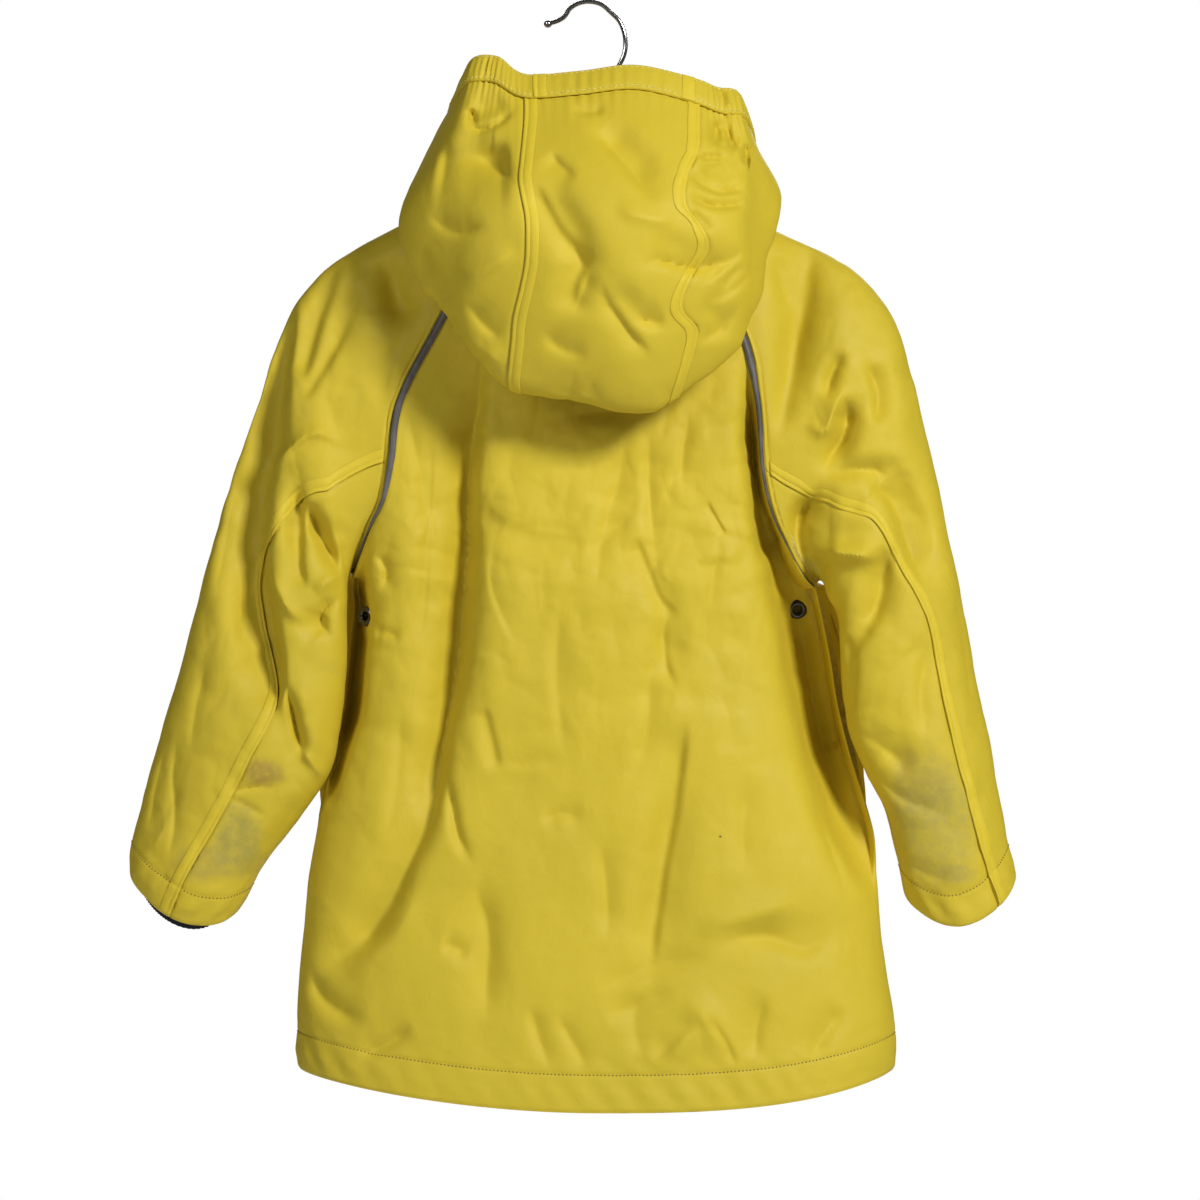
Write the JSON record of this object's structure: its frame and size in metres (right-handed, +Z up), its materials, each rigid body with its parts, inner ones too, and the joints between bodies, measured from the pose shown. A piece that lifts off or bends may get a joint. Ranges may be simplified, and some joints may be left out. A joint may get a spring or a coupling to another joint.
{
  "type": "child's hooded raincoat on a hanger",
  "caption": "Hooded child's raincoat of coated cloth with raglan sleeves and a stud-closed front, hung open-hemmed on a shoulder hanger by its wire hook.",
  "frame": {"origin": "the inner top of the hanger's hook, where it rests on a rail", "axes": "+Z up, +X to the wearer's right, +Y to the wearer's front, so the coat's back faces -Y"},
  "size_m": [0.638, 0.224, 0.793],
  "materials": {
    "coated_cloth": "yellow polyurethane-coated cloth, matte satin",
    "reflective_piping": "grey reflective tape, dull",
    "cuff_knit": "black rib knit",
    "lacquered_metal": "black gloss lacquer",
    "hanger_plastic": "black, matte",
    "hook_wire": "polished wire"
  },
  "bodies": {
    "root": {"back_panel": "coated_cloth", "front_left": "coated_cloth", "front_right": "coated_cloth", "placket": "coated_cloth", "press_stud_1": "lacquered_metal", "press_stud_2": "lacquered_metal", "press_stud_3": "lacquered_metal", "press_stud_4": "lacquered_metal", "press_stud_5": "lacquered_metal", "sleeve_left_top": "coated_cloth", "sleeve_left_under": "coated_cloth", "sleeve_right_top": "coated_cloth", "sleeve_right_under": "coated_cloth", "sleeve_seam_left": "coated_cloth", "sleeve_seam_right": "coated_cloth", "piping_left": "reflective_piping", "piping_right": "reflective_piping", "hood_left": "coated_cloth", "hood_centre": "coated_cloth", "hood_right": "coated_cloth", "hood_casing": "coated_cloth", "hood_seam_left": "coated_cloth", "hood_seam_right": "coated_cloth", "inner_cuff_left": "cuff_knit", "inner_cuff_right": "cuff_knit", "eyelet_left": "lacquered_metal", "eyelet_right": "lacquered_metal", "hanger_arms": "hanger_plastic", "hanger_hook": "hook_wire"}
  },
  "joints": []
}
